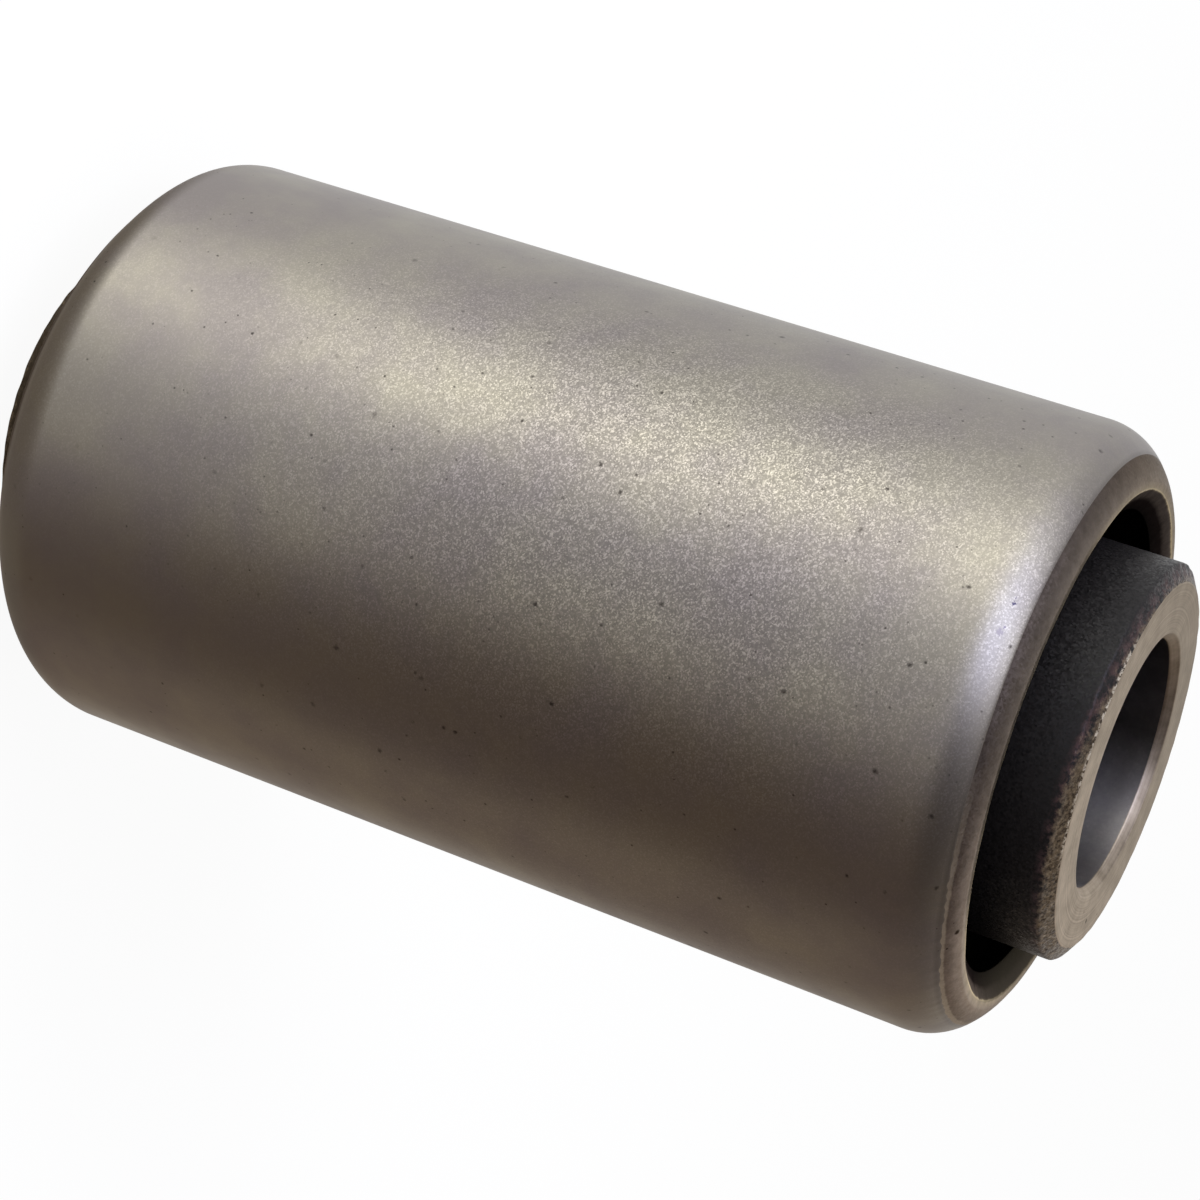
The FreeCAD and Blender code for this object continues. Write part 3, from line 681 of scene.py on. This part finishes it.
def white_floor():
    """A wide white floor. It is mostly as bright as the background, and the rest takes the shadow. The
    gloss of the steel looks through it, to the room's white and grey sides below."""
    made = bpy.data.materials.new("white_studio_floor")
    made.use_nodes = True
    tree = made.node_tree
    tree.nodes.clear()
    paint = node(tree, "BsdfDiffuse", {"Color": colour("#fafafa")})
    glow = node(tree, "Emission", {"Color": colour("#ffffff"), "Strength": 1.0})
    share = node(tree, "Math", {0: seen_white(tree), 1: FLOOR_WHITE}, operation="MULTIPLY")
    mixed = node(tree, "MixShader", {0: share.outputs[0], 1: paint.outputs[0], 2: glow.outputs[0]})
    node(tree, "OutputMaterial", {"Surface": mixed.outputs[0]})
    mesh = bpy.data.meshes.new("studio_floor")
    reach = 3.0
    corners = [(-reach, -reach), (reach, -reach), (reach, reach), (-reach, reach)]
    mesh.from_pydata([(x, y, FLOOR * MM) for x, y in corners], [], [(0, 1, 2, 3)])
    mesh.materials.append(made)
    floor = bpy.data.objects.new("studio_floor", mesh)
    bpy.context.scene.collection.objects.link(floor)
    floor.visible_glossy = False


def direction(azimuth, elevation):
    """The unit vector at this azimuth, counted from +X towards +Y, and elevation, in degrees."""
    a, e = math.radians(azimuth), math.radians(elevation)
    return Vector((math.cos(e) * math.cos(a), math.cos(e) * math.sin(a), math.sin(e)))


def lit(azimuth, strength, tint):
    """One place of a ring of light round the room: its share of a turn that starts behind the bushing, at
    90 degrees, and its colour, brightened to strength."""
    return (azimuth - 90.0) / 360.0, tuple(strength * part for part in colour(tint)[:3]) + (1.0,)


# The room as the steel mirrors it, level with the bushing and below, higher up, and at the ceiling: white
# behind, a soft strip light on the left, a dark screen on the camera's side, and a brown bench on the right.
LOW_RING = [
    lit(90, 0.9, "#ffffff"), lit(128, 0.9, "#ffffff"), lit(152, 1.06, "#ffffff"),
    lit(176, 1.04, "#ffffff"), lit(192, 1.4, "#ffffff"), lit(205, 2.4, "#fffffa"),
    lit(219, 3.0, "#fffff4"), lit(231, 2.3, "#fffffa"), lit(246, 1.1, "#f8f8ff"),
    lit(260, 0.84, "#faf9ff"), lit(274, 0.82, "#fffdfa"), lit(285, 0.7, "#fffbf6"),
    lit(297, 0.38, "#fff2e8"), lit(310, 0.17, "#ffe0cc"), lit(345, 0.14, "#ffd6ba"),
    lit(360, 0.24, "#ffe6d2"), lit(376, 0.46, "#ffead6"), lit(392, 0.3, "#ffe2c8"),
    lit(412, 0.45, "#ffecd8"), lit(450, 0.85, "#ffffff")]
HIGH_RING = [
    lit(90, 0.95, "#ffffff"), lit(130, 0.8, "#ffffff"), lit(150, 0.66, "#ffffff"), lit(164, 0.55, "#ffffff"),
    lit(177, 1.0, "#ffffff"), lit(192, 1.8, "#fbfbff"), lit(207, 3.1, "#f2f5ff"), lit(221, 4.4, "#e2e8ff"),
    lit(236, 4.8, "#d6dcff"), lit(248, 4.2, "#d8dcff"), lit(257, 2.1, "#e2e4ff"), lit(266, 0.62, "#f2f0ff"),
    lit(275, 0.2, "#fff4ec"), lit(287, 0.07, "#ffe6d8"), lit(340, 0.07, "#ffdcc6"), lit(362, 0.2, "#ffe8d8"),
    lit(400, 0.31, "#ffeede"), lit(424, 0.7, "#fff6ee"), lit(450, 0.95, "#ffffff")]
CEILING_RING = [
    lit(90, 0.42, "#fff8f0"), lit(130, 0.42, "#fff8f0"), lit(164, 0.24, "#fff8f4"), lit(180, 0.9, "#ffffff"),
    lit(206, 2.5, "#f4f6ff"), lit(232, 3.7, "#e8eaff"), lit(252, 2.5, "#eeeeff"), lit(272, 0.5, "#fff8f4"),
    lit(300, 0.08, "#fff0e6"), lit(351, 0.08, "#ffe6d8"), lit(371, 0.12, "#ffe6d8"),
    lit(395, 0.32, "#fff0e4"), lit(420, 0.45, "#fff4ea"), lit(450, 0.42, "#fff8f0")]


def mirrored_room(tree):
    """The room's colour for a direction. Steps of the direction's height, z, lead from the low ring to the
    high ring, the ceiling's ring and the grey overhead, and down to a brown-grey bench."""
    way = node(tree, "TexCoord").outputs["Generated"]
    split = node(tree, "SeparateXYZ", {0: way})
    ahead = node(tree, "Math", {0: split.outputs[1], 1: -1.0}, operation="MULTIPLY")
    azimuth = node(tree, "Math", {0: split.outputs[0], 1: ahead.outputs[0]}, operation="ARCTAN2")
    turn = node(tree, "MapRange", {"Value": azimuth.outputs[0], "From Min": -math.pi, "From Max": math.pi})
    low = node(tree, "ValToRGB", {"Fac": turn.outputs[0]}, stops=LOW_RING)
    high = node(tree, "ValToRGB", {"Fac": turn.outputs[0]}, stops=HIGH_RING)
    ceiling = node(tree, "ValToRGB", {"Fac": turn.outputs[0]}, stops=CEILING_RING)
    shown = low.outputs[0]
    for start, end, tint in (
            (0.12, 0.56, high.outputs[0]), (0.7, 0.95, ceiling.outputs[0]), (0.94, 1.0, colour("#a8a29c")),
            (-0.48, -0.75, colour("#8a8074"))):
        share = node(tree, "MapRange", {"Value": split.outputs[2], "From Min": start, "From Max": end},
                     interpolation_type="SMOOTHSTEP")
        shown = node(tree, "Mix", {0: share.outputs[0], 6: shown, 7: tint}, data_type="RGBA").outputs[2]
    return shown


def studio_world():
    """A white room: 1 where the camera meets it, the mirrored room for reflections, and an even soft light
    on everything else."""
    world = bpy.data.worlds.new("studio_room")
    bpy.context.scene.world = world
    world.use_nodes = True
    world.cycles.sampling_method = "NONE"
    tree = world.node_tree
    tree.nodes.clear()
    path = node(tree, "LightPath")
    shown = node(tree, "Mix", {
        0: path.outputs["Is Glossy Ray"], 6: colour("#ffffff"), 7: mirrored_room(tree)}, data_type="RGBA")
    light = node(tree, "Background", {"Color": colour("#ffffff"), "Strength": ROOM_LIGHT})
    white = node(tree, "Background", {"Color": shown.outputs[2], "Strength": 1.0})
    mixed = node(tree, "MixShader", {0: seen_white(tree), 1: light.outputs[0], 2: white.outputs[0]})
    node(tree, "OutputWorld", {"Surface": mixed.outputs[0]})


def soft_box(name, azimuth, elevation, distance, wide, tall, power, tint):
    """A rectangular lamp that faces the bushing. Its distance and sides are in millimetres. The steel
    mirrors the room's own strip light instead of it."""
    lamp = bpy.data.lights.new(name, "AREA")
    lamp.shape = "RECTANGLE"
    lamp.size, lamp.size_y = wide * MM, tall * MM
    lamp.energy = power
    lamp.color = colour(tint)[:3]
    box = bpy.data.objects.new(name, lamp)
    box.location = direction(azimuth, elevation) * distance * MM
    box.rotation_mode = "QUATERNION"
    box.rotation_quaternion = direction(azimuth, elevation).to_track_quat("Z", "Y")
    box.visible_camera = False
    box.visible_glossy = False
    bpy.context.scene.collection.objects.link(box)


# The photograph's camera: its focal length in pixels of a frame this wide, its place, and how far it looks
# down and is rolled, in degrees
FOCAL_LENGTH = 3078.64
FRAME_WIDTH = 1200.0
SENSOR_WIDTH = 36.0
CAMERA_PLACE = (0.97, -188.85, 74.92)
LOOKS_DOWN = 21.245
ROLLED = 109.028


def camera():
    """The camera, tilted about X and then rolled about its own line of sight, and moved to its place."""
    lens = bpy.data.cameras.new("camera")
    lens.sensor_fit = "HORIZONTAL"
    lens.sensor_width = SENSOR_WIDTH
    lens.lens = FOCAL_LENGTH / FRAME_WIDTH * SENSOR_WIDTH
    lens.clip_start, lens.clip_end = 0.01, 20.0
    eye = bpy.data.objects.new("camera", lens)
    tilt = Matrix.Rotation(math.radians(90.0 - LOOKS_DOWN), 4, "X")
    roll = Matrix.Rotation(math.radians(ROLLED), 4, "Z")
    eye.matrix_world = Matrix.Translation(Vector(CAMERA_PLACE) * MM) @ tilt @ roll
    bpy.context.scene.collection.objects.link(eye)
    bpy.context.scene.camera = eye


white_floor()
studio_world()
soft_box("key_light", azimuth=222.0, elevation=25.0, distance=500.0, wide=200.0, tall=300.0, power=1.6,
         tint="#fffff6")
soft_box("window_light", azimuth=228.0, elevation=55.0, distance=600.0, wide=300.0, tall=300.0, power=2.0,
         tint="#e4e6ff")
camera()
bpy.context.scene.view_settings.view_transform = "Standard"
